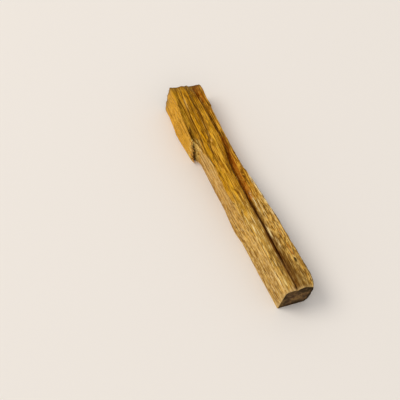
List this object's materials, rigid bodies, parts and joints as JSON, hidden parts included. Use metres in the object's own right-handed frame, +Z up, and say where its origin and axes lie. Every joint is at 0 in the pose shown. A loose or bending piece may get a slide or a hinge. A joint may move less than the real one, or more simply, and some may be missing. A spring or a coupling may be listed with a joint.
{
  "type": "palo santo stick",
  "caption": "Natural stick of split aromatic wood, sawn at both ends, with a lath torn on one side and a long groove, that lies on its flat underside.",
  "frame": {"origin": "middle of the stick's box, on the surface it lies on", "axes": "+X along the grain, from the end with the torn lath to the end with the rounded outside of the branch; +Z up"},
  "size_m": [0.1, 0.019, 0.0127],
  "materials": {
    "palo_santo_wood": "raw split heartwood, oily, golden brown with dark resin streaks, half matt"
  },
  "bodies": {
    "root": {"palo_santo_stick": "palo_santo_wood"}
  },
  "joints": []
}
